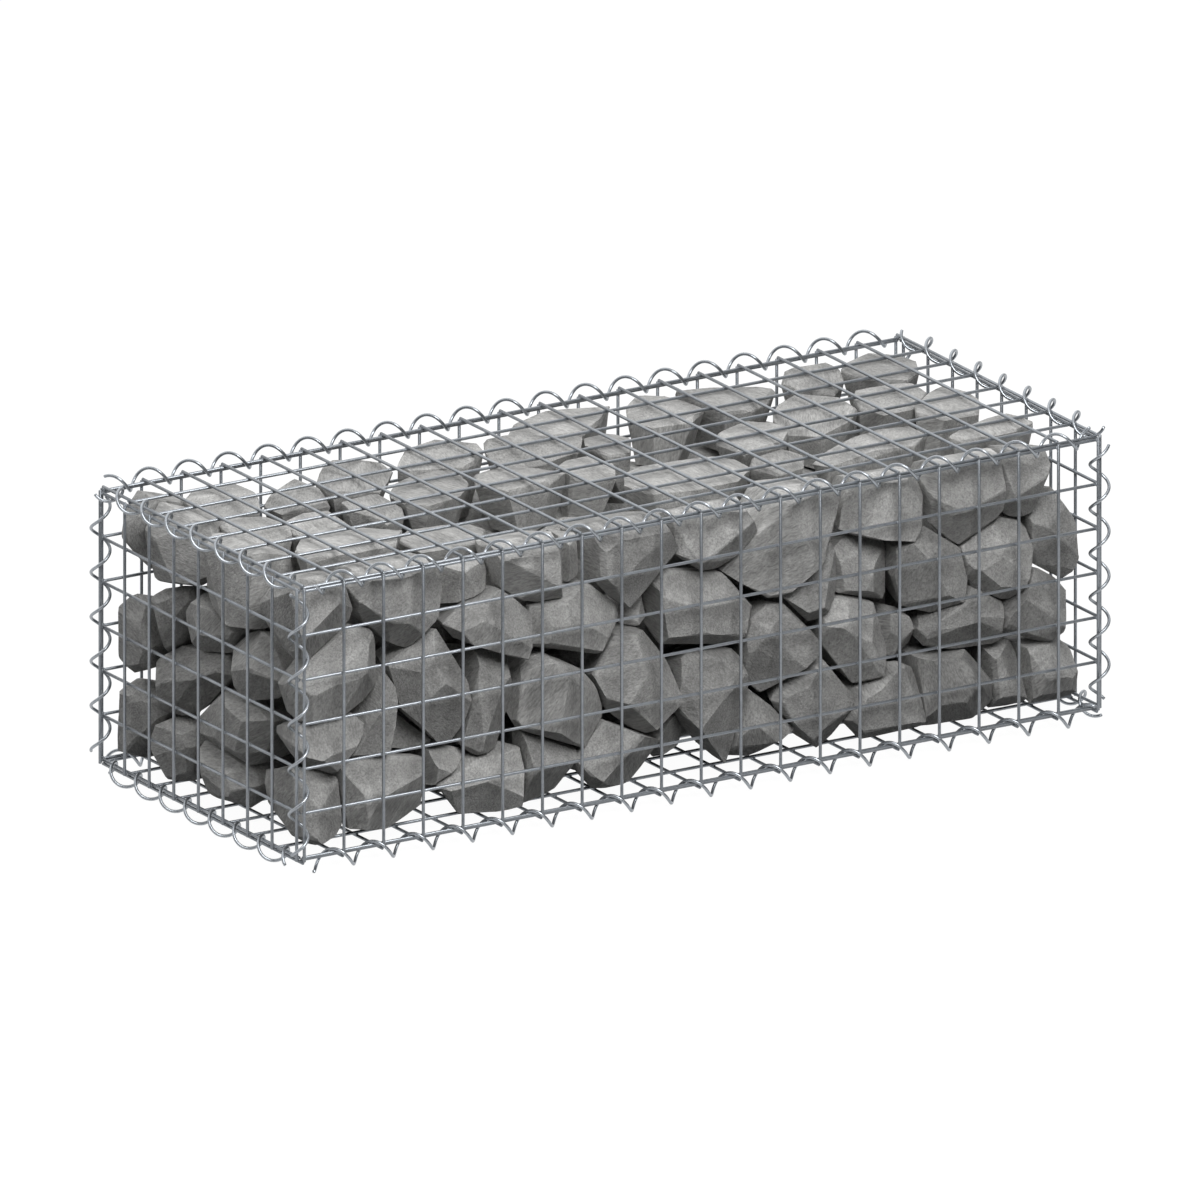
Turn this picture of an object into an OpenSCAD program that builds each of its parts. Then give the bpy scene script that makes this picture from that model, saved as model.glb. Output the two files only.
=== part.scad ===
/* [Basket] */
// Length between the first and last cross wires of the long panels
basket_l = 1000; // [800:10:1500]
// Depth between the first and last cross wires of the end panels
basket_d = 400; // [300:10:600]
// Height between the lowest and highest wires of the upright panels
basket_h = 300; // [250:10:500]

/* [Welded mesh] */
// Spacing of the mesh wires, met as nearly as whole cells allow
mesh_pitch = 50; // [40:1:100]
// Diameter of the mesh wires
wire_d = 3.5; // [3:0.1:4.5]
// Depth that crossing wires sink into each other at a weld
weld_depth = 0.3; // [0.1:0.05:0.5]
// Gap between the wires of two panels that meet at an edge
corner_gap = 0.3; // [0.2:0.05:0.6]

/* [Spirals] */
// Outer diameter of the lacing spirals
spiral_d = 24; // [21:0.5:28]
// Diameter of the spiral wire
spiral_wire_d = 3.5; // [2.5:0.1:4]
// Gap between a spiral and the edge wires that it hangs on
spiral_gap = 0.1; // [0.05:0.05:0.4]
// Distance of a spiral's end from the last wire that it passes
spiral_end_gap = 4; // [2:0.5:10]

/* [Stones] */
// Distance from the upright panels to the stones
stone_side_gap = 9; // [8:0.5:25]
// Distance from the lid and the base wires to the stones
stone_rest_gap = 0.3; // [0.1:0.05:1]
// Gap between neighbouring stones
stone_gap = 0.6; // [0.2:0.1:0.9]
// Broken faces that shape each stone
stone_facets = 12; // [9:1:16]

/* [Hidden] */
wire_sides = 8;
spiral_sides = 5;
spiral_steps = 10;
eighth_turn = 45;
quarter_turn = 90;
half_turn = 180;
full_turn = 360;

// Whole cells along, across and up the basket, and their true pitch
cells_l = round(basket_l / mesh_pitch);
cells_d = round(basket_d / mesh_pitch);
cells_h = round(basket_h / mesh_pitch);
pitch_l = basket_l / cells_l;
pitch_d = basket_d / cells_d;
pitch_h = basket_h / cells_h;

// A panel's two layers of wire lie this far either side of its plane
half_layer = (wire_d - weld_depth) / 2;
// The edge wires of a panel lie this far inside the plane of the next panel, so that the inner
// wires that run side by side along an edge are the corner gap apart
edge_inset = half_layer + (wire_d + corner_gap) / sqrt(2);
// Wires end past the last wire that they cross, the corner gap short of the next panel's like wires
inner_stub = edge_inset - half_layer - wire_d / 2 - corner_gap;
outer_stub = edge_inset + half_layer - wire_d / 2 - corner_gap;
plane_x = basket_l / 2 + edge_inset;
plane_y = basket_d / 2 + edge_inset;

// A spiral's centre line lies seat_reach from the edge wires that it hangs on
spiral_r = (spiral_d - spiral_wire_d) / 2;
spiral_bore_r = spiral_r * cos(half_turn / spiral_steps) - spiral_wire_d / 2 * cos(half_turn / spiral_sides);
seat_reach = spiral_bore_r - spiral_gap - wire_d / 2 / cos(half_turn / wire_sides);
// Level edges: the centre line lies outside both panels, the same distance from each plane
seat_spread = edge_inset - half_layer;
level_out = (sqrt(2 * seat_reach * seat_reach - seat_spread * seat_spread) - edge_inset - half_layer) / 2;
// Upright edges: it lies on the line between the two edge wires, hung on the long panel's wire
upright_step = seat_reach / sqrt(2);
upright_x = basket_l / 2 + upright_step;
upright_y = plane_y + half_layer - upright_step;

// The part stands on the lowest turns of the four bottom spirals
base_z = spiral_d / 2 + level_out;
lid_z = base_z + basket_h + 2 * edge_inset;
mid_z = (base_z + lid_z) / 2;
top_spiral_z = lid_z + level_out;
bottom_spiral_z = base_z - level_out;
// How far past a cell's middle each spiral is nearest the stones, in cells
long_lead_share = 0.1;
front_bottom_lead_share = 0.14;
short_lead_share = 0.08;
front_left_lead_share = 0.2;
front_right_lead_share = -0.12;
back_left_lead_share = 0.18;

// Room for the stones inside the wires
fill_low = [-plane_x + half_layer + wire_d / 2 + stone_side_gap,
            -plane_y + half_layer + wire_d / 2 + stone_side_gap,
            base_z + half_layer + wire_d / 2 + stone_rest_gap];
fill_high = [-fill_low.x, -fill_low.y, lid_z - half_layer - wire_d / 2 - stone_rest_gap];
fill_size = fill_high - fill_low;
half_space_reach = norm(fill_size);

// Courses and rows of stones, and the stones in a course of the hidden rows
courses = 4;
rows = 4;
row_stones = 10;
row_d = fill_size.y / rows;
// The part of the room's length that the hidden rows fill
row_span_share = 0.94;
// The size of a plain stone as shares of the room
plain_stone_shares = [0.1, 0.25, 0.2833];
// How far a rule-placed stone strays from its place, in plain stones
stray_share = 0.16;
// Least and greatest size of a rule-placed stone, in plain stones
size_shares = [1.15, 1.5];
// How far a broken face cuts into the stone's round shape, at most
cut_share = 0.24;
// How far a broken face leans from an even spread
lean_share = 0.4;
golden_angle = 137.508;
// Stones nearer than this share of their sizes together are neighbours
near_share = 1.8;
// Seeds kept for the stones of one course and row
course_seed_count = 100;

// Stones drawn as seen from a side are widest at their outline. How far that lies inside the room and how
// much their fronts tilt, on the upright sides and under the lid
upright_shares = [0.29, 0.5];
under_lid_shares = [0.06, 0.18];
// How deep they are in all, and how far their outlines grow towards their neighbours
drawn_depth_share = 0.89;
drawn_growth_share = 0.03;
// Drawn stones whose outlines are nearer than this part themselves from each other
drawn_near_share = 0.4;
// How much a parting face is preferred for crossing the line between two stones' centres
cross_share = 0.02;
// Lean of their broken faces before and behind the outline, least and greatest
front_leans = [8, 60];
back_leans = [4, 22];

// Outlines of the stones seen from the front: set-back in rows, then points in twentieths of the
// length from the left and sixths of the height from the bottom
front_part_share = 1 / 20;
height_part_share = 1 / 6;
front_bottom_shares = [
    [0, [[0.1, 1.8], [0.5, 1.73], [1.27, 1.43], [1.43, 0.83], [1.43, 0.3], [1.17, 0.1], [0.7, 0],
         [0.2, 0.3], [0, 1.1]]],
    [0, [[1.3, 1.6], [1.6, 1.73], [2.7, 1.65], [3.43, 1.5], [3.43, 0.37], [2.5, 0.07], [1.57, 0.23]]],
    [0.2, [[3.77, 1.55], [4.34, 1.45], [4.74, 1.28], [4.64, 1.05], [3.81, 0.62], [3.74, 1.02]]],
    [0, [[3.9, 0.75], [4.4, 1.2], [4.7, 1.37], [5.9, 1.4], [6, 0.9], [5.93, 0.1], [5.4, 0], [4.47, 0]]],
    [0.05, [[5.93, 1.6], [6.23, 1.57], [7.43, 0.97], [6.97, 0.23], [6.37, 0], [5.95, 0.03]]],
    [0, [[7.3, 0.83], [8, 1.55], [8.2, 1.5], [9.43, 0.9], [9.1, 0.37], [8.63, 0.03], [8.1, 0],
         [7.77, 0.07], [7.5, 0.37]]],
    [0.3, [[9.36, 0.88], [10.06, 1.28], [10.36, 0.78], [10.26, 0.43], [9.66, 0.3]]],
    [0.1, [[11.7, 1.56], [12.55, 0.9], [12.9, 0.53], [11.75, 0.05], [11.25, 0.16], [11.4, 0.9]]],
    [0, [[12.3, 1.23], [12.43, 1.5], [13.1, 1.9], [13.5, 1.97], [14.3, 0.97], [13.77, 0.23], [13.43, 0],
         [13.1, 0.2], [12.6, 0.7]]],
    [0, [[14.03, 0.57], [14.4, 1.23], [15.23, 1.57], [15.7, 1.53], [16.13, 0.57], [16.1, 0.23],
         [15.7, 0], [15, 0], [14.5, 0.03]]],
    [0, [[15.73, 1.63], [17.1, 1.57], [17.57, 1.03], [17.87, 0.57], [17.83, 0.37], [17.17, 0],
         [16.5, 0], [15.93, 0.07]]],
    [0.15, [[17.68, 1.42], [18.41, 1.46], [18.85, 0.59], [18.68, 0.02], [17.88, 0.06], [17.75, 0.99]]],
    [0, [[18.43, 1.43], [19.37, 1.5], [20.17, 0.77], [20.07, 0.27], [19.43, 0.07], [18.63, 0.1]]]
];
front_lower_shares = [
    [0, [[0.2, 2.3], [0.3, 2.7], [1.2, 2.85], [1.7, 2.73], [2, 2.43], [1.53, 1.8], [1.1, 1.53], [0.4, 1.9]]],
    [0.1, [[1.95, 2.6], [2.5, 3.63], [2.7, 3.37], [2.83, 2.67], [2.67, 1.75], [1.6, 1.8]]],
    [0, [[2.57, 3.63], [3, 3.95], [3.6, 4.27], [3.85, 4.25], [4.83, 2.57], [4.23, 1.73], [3.8, 1.75],
         [2.83, 2.77]]],
    [0.25, [[3.17, 2.39], [4, 1.59], [3.8, 1.52], [3, 1.6], [3.07, 1.99]]],
    [0.1, [[4.6, 3.65], [5.2, 3.63], [5.7, 3.3], [5.88, 2.5], [5.33, 1.17], [4.97, 1.15], [4.5, 1.6],
           [4.45, 2.4]]],
    [0, [[5.65, 2.1], [5.8, 2.9], [6.1, 3.2], [6.5, 3.27], [7.43, 2.77], [7.97, 2.13], [8, 1.5],
         [7.43, 0.97], [5.97, 1.6]]],
    [0, [[7.77, 2.5], [8.2, 3.2], [8.5, 3.45], [8.95, 3.45], [9.6, 2.6], [9.93, 1.77], [8.97, 1.07],
         [8, 1.9]]],
    [0, [[9.93, 2.5], [10.17, 2.63], [11.23, 2.57], [11.43, 2.37], [11.5, 1.7], [11.07, 0.1],
         [10.93, 0.07], [9.8, 1.4]]],
    [0, [[11.57, 2.77], [11.7, 3.1], [12.2, 3.37], [12.57, 3.33], [13.3, 2.57], [13.27, 2.13],
         [12, 1.5], [11.57, 1.9]]],
    [0, [[13.57, 2.97], [13.9, 3.2], [14.43, 3.23], [14.83, 2.97], [15.17, 1.9], [14.77, 1.27],
         [14.33, 1.3], [13.53, 2.37]]],
    [0.3, [[15.2, 2.75], [15.9, 2.5], [16.15, 1.75], [15.7, 1.4], [15.2, 1.65]]],
    [0, [[15.97, 2.17], [16.83, 2.57], [17.1, 3.1], [17.43, 2.9], [18.1, 2.5], [18.03, 1.7],
         [17.77, 1.57], [16.97, 1.6], [15.97, 1.9]]],
    [0, [[18.07, 2.37], [18.63, 3.17], [19.3, 2.9], [19.67, 2.43], [19.37, 1.57], [19.1, 1.4],
         [18.03, 1.9]]]
];
front_upper_shares = [
    [0, [[0.1, 3.6], [0.7, 4.17], [1.63, 4.73], [2.17, 4.53], [2.28, 4.3], [2.28, 3.3], [1.97, 3.02],
         [1.2, 2.75], [0.4, 2.75]]],
    [0, [[4.03, 4.37], [4.5, 4.7], [5, 5], [5.5, 4.9], [6.17, 4.23], [5.93, 3.3], [5.5, 3.43], [4.43, 3.9]]],
    [0.05, [[6.1, 4], [6.3, 4.55], [7, 4.67], [7.7, 4.67], [8.4, 4.07], [8.45, 3.77], [8, 3.03],
            [7.5, 3.15], [6.1, 3.55]]],
    [0.3, [[8.76, 3.58], [8.86, 3.88], [9.36, 4.18], [9.46, 3.98], [9.56, 3.58], [8.86, 3.33]]],
    [0, [[9.1, 3.97], [9.17, 4.3], [9.57, 4.6], [10.1, 4.6], [10.93, 4.43], [11.77, 3.5], [11.7, 3.1],
         [11.3, 2.73], [9.47, 3], [9.2, 3.4]]],
    [0, [[12.57, 3.57], [13.77, 4.5], [13.87, 4.37], [13.87, 3.4], [13.43, 2.9], [13.2, 2.9]]],
    [0.15, [[14.05, 4.26], [14.35, 4.49], [15.38, 4.24], [15.38, 3.39], [15.15, 2.92], [14.05, 3.24]]],
    [0, [[15.17, 3.97], [15.23, 4.3], [16, 4.63], [17, 3.93], [17.1, 3.23], [16.83, 2.5], [16.5, 2.5],
         [15.57, 2.83]]],
    [0, [[17.07, 3.83], [17.43, 4.1], [17.97, 4.37], [18.5, 4.2], [18.9, 3.77], [18.37, 2.5],
         [17.83, 2.63], [17.17, 3.23]]],
    [0.1, [[18.57, 4.23], [19.03, 4.7], [19.43, 4.73], [20, 3.97], [20.02, 3.3], [19.83, 2.77],
           [19.63, 2.67], [18.77, 3.23]]]
];
front_top_shares = [
    [0, [[0.1, 5.6], [0.4, 5.95], [1.45, 5.95], [1.67, 5.4], [1.63, 4.9], [0.7, 4.2], [0.3, 4.25],
         [0, 4.8]]],
    [0, [[1.57, 5.5], [1.75, 5.95], [3.5, 5.95], [3.9, 5.27], [3.83, 4.7], [3.57, 4.37], [3.1, 4.03],
         [2.7, 4.17], [1.77, 5.03]]],
    [0.3, [[4.19, 5.5], [5.46, 5.45], [5.46, 4.85], [4.86, 4.71], [4.29, 4.53]]],
    [0, [[5.07, 5.7], [5.3, 5.95], [6.7, 5.95], [6.95, 5.5], [7, 4.4], [6.5, 4.47], [5.83, 4.63],
         [5.2, 5.1]]],
    [0.3, [[7.31, 5.6], [7.81, 5.6], [7.81, 4.75], [7.36, 4.58]]],
    [0, [[7.57, 5.8], [7.8, 5.95], [9.4, 5.95], [9.83, 5.17], [9.47, 4.8], [8.57, 4.03], [8.37, 4.13],
         [7.63, 4.97]]],
    [0, [[9.65, 5.9], [11.35, 5.95], [11.8, 5.17], [11.3, 4.7], [10.93, 4.5], [10.57, 4.43], [9.7, 5.1]]],
    [0, [[12.3, 5.95], [13.6, 5.95], [14, 5.57], [13.8, 4.8], [13.5, 4.4], [12.5, 3.57], [12.2, 3.6],
         [11, 4.4]]],
    [0, [[14.1, 5.3], [14.3, 5.9], [15.7, 5.9], [16.07, 5.23], [16.07, 4.83], [15.7, 4.33],
         [14.5, 4.57], [14.03, 4.8]]],
    [0, [[16.03, 5.5], [16.2, 5.95], [17.8, 5.95], [18, 4.63], [17.5, 4.17], [17, 3.97], [16.7, 4.1],
         [16.23, 4.63]]],
    [0, [[17.97, 5.5], [18.05, 5.9], [19.1, 5.75], [19.13, 5.17], [18.8, 4.43], [18.3, 4.37], [18, 4.63]]]
];
front_shares = [front_bottom_shares, front_lower_shares, front_upper_shares, front_top_shares];

// Outlines of the stones seen from the left end, one for each course of the second, third and back
// rows: set-back in rows, then points in eighths of the depth from the back and sixths of the height
left_part_share = 1 / 8;
second_left_shares = [
    [0, [[2.9, 0.8], [3.1, 1.25], [4.7, 1.2], [5.1, 0.7], [4.8, 0.15], [3.7, 0], [3.2, 0.1]]],
    [0, [[3.15, 1.7], [3.35, 2.1], [3.85, 2.5], [4.9, 2.55], [5.7, 2.3], [5.45, 1.6], [4.9, 1.05],
         [3.8, 1.1], [3.3, 1.4]]],
    [0, [[4.2, 3.5], [4.75, 4], [5.2, 4.2], [5.55, 4.1], [6.4, 3.3], [5.85, 2.9], [4.95, 2.6], [4.25, 3.1]]],
    [0, [[3.3, 5.2], [3.4, 5.95], [5.2, 5.95], [5.3, 4.3], [4.6, 4.2], [3.8, 4.3], [3.4, 4.6]]]
];
third_left_shares = [
    [0, [[1.05, 0.4], [1.4, 1.1], [1.9, 1.35], [2.8, 1.4], [3.1, 1], [2.9, 0.3], [2.2, 0], [1.5, 0]]],
    [0, [[1.1, 2.3], [1.5, 2.75], [2, 3.1], [3.8, 3.35], [4.1, 2.9], [2.8, 1.8], [2, 1.4], [1.2, 1.65]]],
    [0, [[2.7, 3.6], [2.75, 4.2], [3.05, 4.5], [3.9, 4.4], [4.6, 4.05], [4.2, 3.5], [3.3, 3.15], [2.9, 3.2]]],
    [0, [[1, 4.7], [1.1, 5.95], [3.1, 5.95], [3.3, 5.2], [3.2, 4.9], [2.7, 4.55], [1.6, 4.32], [1.1, 4.4]]]
];
back_left_shares = [
    [0, [[0, 1.7], [0.6, 1.8], [1.5, 1.6], [1.6, 1.35], [1, 0.6], [0.6, 0.1], [0, 0]]],
    [-0.15, [[0, 3.3], [0.5, 3.75], [1, 3.7], [1.35, 2.8], [1.1, 2.3], [0.5, 2.05], [0, 2.2]]],
    [0, [[1.1, 3.55], [1.35, 4.05], [1.8, 4.15], [2.45, 4.4], [2.6, 4.1], [2.4, 3.6], [1.8, 2.75],
         [1.55, 2.65]]],
    [0, [[0, 5.95], [1, 5.95], [1, 4.5], [0.7, 4.4], [0.1, 4.55]]]
];
left_shares = [second_left_shares, third_left_shares, back_left_shares];

// Outlines of the stones seen through the lid in the second, third and back rows: set-back in rows, then
// points in twentieths of the length from the left and eighths of the depth from the back
second_lid_shares = [
    [0, [[1.5, 5.4], [2.3, 4.5], [3.1, 4.15], [3.7, 4.7], [4.1, 5.4], [3.6, 6], [2.4, 6.1], [1.4, 6]]],
    [0.15, [[4.2, 5.2], [4.9, 4.7], [5.9, 4.9], [6.1, 5.6], [5.6, 6.1], [4.3, 6.1]]],
    [0, [[9.9, 5.2], [10.4, 4.4], [10.95, 4.1], [11.8, 4.7], [12.8, 5], [12.9, 5.4], [12.3, 5.9],
         [11, 6.1], [10.1, 6]]],
    [0.05, [[13, 5.3], [13.3, 4.9], [14.1, 4.8], [14.3, 5.3], [13.9, 5.9], [13.2, 6.1]]],
    [0, [[14.3, 5.7], [14.9, 5.3], [16.2, 4.95], [17.2, 5], [17.2, 5.6], [16.6, 6.1], [15.2, 6.2],
         [14.4, 6.2]]],
    [0, [[17.6, 6], [18.5, 5.5], [19.4, 5.35], [19.5, 6.2], [18.9, 6.4], [17.7, 6.4]]]
];
third_lid_shares = [
    [0.05, [[1.2, 2.8], [1.7, 2.55], [2.3, 2.75], [2.35, 3.6], [2.1, 4.2], [1.3, 4.2], [1.1, 3.4]]],
    [0.1, [[2.5, 3.2], [3.2, 2.9], [3.8, 3.1], [3.7, 3.9], [3.3, 4.1], [2.6, 4.3], [2.4, 3.8]]],
    [0.05, [[4.2, 2.9], [5.2, 2.75], [5.15, 3.6], [4.9, 4.2], [4.3, 4.5], [4, 3.6]]],
    [0, [[5.35, 3], [5.9, 2.3], [6.6, 2.1], [7.2, 2.6], [7.1, 3.3], [6.5, 3.9], [5.5, 4.3], [5.2, 3.8]]],
    [0, [[7.2, 3.5], [7.5, 2.95], [8.4, 2.75], [9, 3.1], [9.3, 3.7], [8.6, 4.2], [7.5, 4.3]]],
    [0.05, [[9.4, 3.2], [9.8, 2.9], [10.4, 3], [10.6, 3.5], [10.2, 4.3], [9.6, 4.4], [9.3, 3.9]]],
    [0, [[10.58, 2.5], [10.9, 1.9], [11.4, 2], [11.6, 2.6], [11.1, 3.4], [10.62, 3.3]]],
    [0, [[13.1, 3.8], [13.5, 3.2], [14.1, 2.8], [14.6, 2.5], [14.85, 3.2], [14.7, 4], [14.2, 4.6],
         [13.2, 4.7]]],
    [0, [[14.97, 3], [15.65, 2.2], [16.4, 1.75], [16.95, 2.45], [16.85, 3.35], [16.3, 3.9], [15.4, 4.2],
         [14.82, 3.8]]],
    [0, [[17.15, 2.8], [17.6, 2.2], [18.4, 2.35], [18.75, 2.6], [18.7, 3.2], [18, 3.8], [17.2, 3.9],
         [16.95, 3.4]]],
    [0, [[18.1, 3.8], [18.8, 3.2], [19.3, 2.95], [19.4, 4.2], [19, 4.8], [18.1, 4.9], [17.8, 4.3]]]
];
back_lid_shares = [
    [0, [[1.25, 1.2], [1.9, 0.6], [3, 0.25], [2.75, 1.7], [2.4, 2.4], [1.3, 2.5]]],
    [0.05, [[2.8, 2], [3.3, 1.5], [4.15, 1], [4.2, 2.1], [3.9, 2.8], [2.8, 2.7]]],
    [0, [[4.3, 1.65], [5.25, 0.45], [5.5, 0.4], [6.2, 1.15], [6.25, 1.6], [5.8, 2.1], [5.3, 2.6],
         [4.2, 2.5]]],
    [0, [[6.35, 1.7], [7.1, 0.8], [8.1, 0.4], [8.65, 1.1], [8.5, 1.6], [7.9, 2.2], [7.3, 2.6],
         [6.4, 2.3]]],
    [0, [[8.6, 1.6], [8.9, 1.1], [9.6, 1], [10.3, 1.4], [10.9, 1.75], [10.6, 2.3], [10.2, 2.7], [9.2, 2.8],
         [8.45, 2.5]]],
    [0, [[9.5, 0.9], [10.25, 0.2], [11.3, 0.15], [12.4, 0.4], [11.7, 1.15], [11, 1.7], [9.9, 1.3]]],
    [0, [[12.4, 1.3], [12.8, 0.6], [13.4, 0.2], [13.9, 0.3], [14.2, 1], [14.1, 1.6], [13.4, 2.2],
         [12.6, 2]]],
    [0, [[14.2, 1], [14.1, 0.4], [15, 0.55], [15.75, 0.95], [16, 1.35], [15.5, 1.9], [14.85, 2.25],
         [14.3, 2.1]]],
    [0, [[16.4, 1.1], [17, 0.25], [17.95, 0.3], [17.85, 1.1], [17.6, 1.6], [17, 2.2], [16.45, 1.6]]],
    [0, [[18, 0.95], [18.5, 0.45], [19.05, 0.2], [19.6, 0.6], [19.7, 1.1], [19.3, 1.9], [18.75, 2.3],
         [18.1, 1.6]]]
];
lid_shares = [second_lid_shares, third_lid_shares, back_lid_shares];

// A side of drawn stones: directions along and across it, outward direction, one part and the start of
// its length and width, the reach of the room, and the depth and tilt of its stones
front_side = [[1, 0, 0], [0, 0, 1], [0, -1, 0],
              [basket_l * front_part_share, basket_h * height_part_share],
              [-basket_l / 2, base_z + edge_inset], -fill_low.y, upright_shares];
left_side = [[0, -1, 0], [0, 0, 1], [-1, 0, 0],
             [basket_d * left_part_share, basket_h * height_part_share],
             [-basket_d / 2, base_z + edge_inset], -fill_low.x, upright_shares];
lid_side = [[1, 0, 0], [0, -1, 0], [0, 0, 1],
            [basket_l * front_part_share, basket_d * left_part_share],
            [-basket_l / 2, -basket_d / 2], fill_high.z, under_lid_shares];

wire_color = [0.52, 0.55, 0.58];
spiral_color = [0.62, 0.65, 0.68];
stone_color = [0.5, 0.5, 0.49];

// A wire along +Z, centred, with flats towards X and Y
module wire(length) {
    rotate(half_turn / wire_sides)
        cylinder(h = length, d = wire_d / cos(half_turn / wire_sides), center = true, $fn = wire_sides);
}

// A welded panel on the XY plane: inner wires along X, and outer wires along Y towards +Z
module mesh_panel(length_x, length_y, cells_x, cells_y) {
    union() {
        for (i = [0 : cells_x])
            translate([length_x * (i / cells_x - 1 / 2), 0, half_layer])
                rotate([quarter_turn, 0, 0])
                    wire(length_y + 2 * outer_stub);
        for (j = [0 : cells_y])
            translate([0, length_y * (j / cells_y - 1 / 2), -half_layer])
                rotate([0, quarter_turn, 0])
                    wire(length_x + 2 * inner_stub);
    }
}

module front_panel() {
    color(wire_color)
        translate([0, -plane_y, mid_z])
            rotate([quarter_turn, 0, 0])
                mesh_panel(basket_l, basket_h, cells_l, cells_h);
}

module back_panel() {
    color(wire_color)
        translate([0, plane_y, mid_z])
            rotate([quarter_turn, 0, half_turn])
                mesh_panel(basket_l, basket_h, cells_l, cells_h);
}

module left_end_panel() {
    color(wire_color)
        translate([-plane_x, 0, mid_z])
            rotate([quarter_turn, 0, -quarter_turn])
                mesh_panel(basket_d, basket_h, cells_d, cells_h);
}

module right_end_panel() {
    color(wire_color)
        translate([plane_x, 0, mid_z])
            rotate([quarter_turn, 0, quarter_turn])
                mesh_panel(basket_d, basket_h, cells_d, cells_h);
}

module base_panel() {
    color(wire_color)
        translate([0, 0, base_z])
            rotate([half_turn, 0, 0])
                mesh_panel(basket_l, basket_d, cells_l, cells_d);
}

module lid_panel() {
    color(wire_color)
        translate([0, 0, lid_z])
            mesh_panel(basket_l, basket_d, cells_l, cells_d);
}

// One ring of the spiral's skin, at turn angle a and height t
function spiral_ring(a, t, pitch) =
    let (rise = pitch / full_turn * half_turn / PI,
         out = [cos(a), sin(a), 0],
         along = [-spiral_r * sin(a), spiral_r * cos(a), rise],
         side = cross(along, out) / norm(along))
    [for (s = [0 : spiral_sides - 1])
        let (b = full_turn * s / spiral_sides)
        spiral_r * out + [0, 0, t] + spiral_wire_d / 2 * (cos(b) * out + sin(b) * side)];

// A right-handed spiral along +Z from the first wire that it passes, one turn to a cell. It is
// nearest inner_angle lead_share of a cell past each cell's middle, and has a ring at ring_angle.
module spiral(cells, pitch, inner_angle, lead_share, ring_angle) {
    step = full_turn / spiral_steps;
    angle_at_zero = inner_angle - full_turn * (1 / 2 + lead_share);
    low = angle_at_zero + full_turn * spiral_end_gap / pitch;
    high = angle_at_zero + full_turn * (cells - spiral_end_gap / pitch);
    first = ring_angle + step * ceil((low - ring_angle) / step);
    count = floor((high - first) / step) + 1;
    points = [for (k = [0 : count - 1])
        let (a = first + step * k)
        each spiral_ring(a, (a - angle_at_zero) / full_turn * pitch, pitch)];
    skin = [for (k = [0 : count - 2], s = [0 : spiral_sides - 1])
        let (here = k * spiral_sides, next = (s + 1) % spiral_sides)
        each [[here + s, here + spiral_sides + s, here + next],
              [here + next, here + spiral_sides + s, here + spiral_sides + next]]];
    start_cap = [[for (s = [0 : spiral_sides - 1]) s]];
    end_cap = [[for (s = [spiral_sides - 1 : -1 : 0]) (count - 1) * spiral_sides + s]];
    polyhedron(points, concat(skin, start_cap, end_cap));
}

// The spiral of a level edge along X, on the side_y side of the basket at height z
module long_spiral(side_y, z, inner_angle, lead_share) {
    color(spiral_color)
        translate([-basket_l / 2, side_y * (plane_y + level_out), z])
            rotate([quarter_turn, 0, quarter_turn])
                spiral(cells_l, pitch_l, inner_angle, lead_share, -quarter_turn);
}

// The spiral of a level edge along Y, on the side_x side of the basket at height z
module short_spiral(side_x, z, inner_angle, lead_share) {
    color(spiral_color)
        translate([side_x * (plane_x + level_out), -basket_d / 2, z])
            rotate([-quarter_turn, 0, 0])
                rotate([0, 0, -quarter_turn])
                    spiral(cells_d, pitch_d, inner_angle, lead_share, half_turn);
}

// The spiral of an upright edge
module upright_spiral(side_x, side_y, inner_angle, lead_share) {
    color(spiral_color)
        translate([side_x * upright_x, side_y * upright_y, base_z + edge_inset])
            spiral(cells_h, pitch_h, inner_angle, lead_share, inner_angle);
}

module front_top_spiral() {
    long_spiral(-1, top_spiral_z, -eighth_turn, long_lead_share);
}

module front_bottom_spiral() {
    long_spiral(-1, bottom_spiral_z, eighth_turn, front_bottom_lead_share);
}

module back_top_spiral() {
    long_spiral(1, top_spiral_z, half_turn + eighth_turn, long_lead_share);
}

module back_bottom_spiral() {
    long_spiral(1, bottom_spiral_z, quarter_turn + eighth_turn, long_lead_share);
}

module left_top_spiral() {
    short_spiral(-1, top_spiral_z, quarter_turn + eighth_turn, short_lead_share);
}

module left_bottom_spiral() {
    short_spiral(-1, bottom_spiral_z, eighth_turn, short_lead_share);
}

module right_top_spiral() {
    short_spiral(1, top_spiral_z, half_turn + eighth_turn, short_lead_share);
}

module right_bottom_spiral() {
    short_spiral(1, bottom_spiral_z, -eighth_turn, short_lead_share);
}

module front_left_spiral() {
    upright_spiral(-1, -1, eighth_turn, front_left_lead_share);
}

module front_right_spiral() {
    upright_spiral(1, -1, quarter_turn + eighth_turn, front_right_lead_share);
}

module back_left_spiral() {
    upright_spiral(-1, 1, -eighth_turn, back_left_lead_share);
}

module back_right_spiral() {
    upright_spiral(1, 1, half_turn + eighth_turn, 0);
}

// A stone is [centre, seed, half sizes, outline about the centre, outward direction, direction along its
// side, depth and tilt]; a rule-placed stone has no outline, and a drawn one no half sizes
function in_room(shares) = fill_low + [for (i = [0 : 2]) fill_size[i] * shares[i]];
function half_sizes(sizes) = [for (i = [0 : 2]) fill_size[i] * plain_stone_shares[i] * sizes[i] / 2];
function unit(v) = v / norm(v);
function middle(points) = points * [for (p = points) 1] / len(points);

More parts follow.
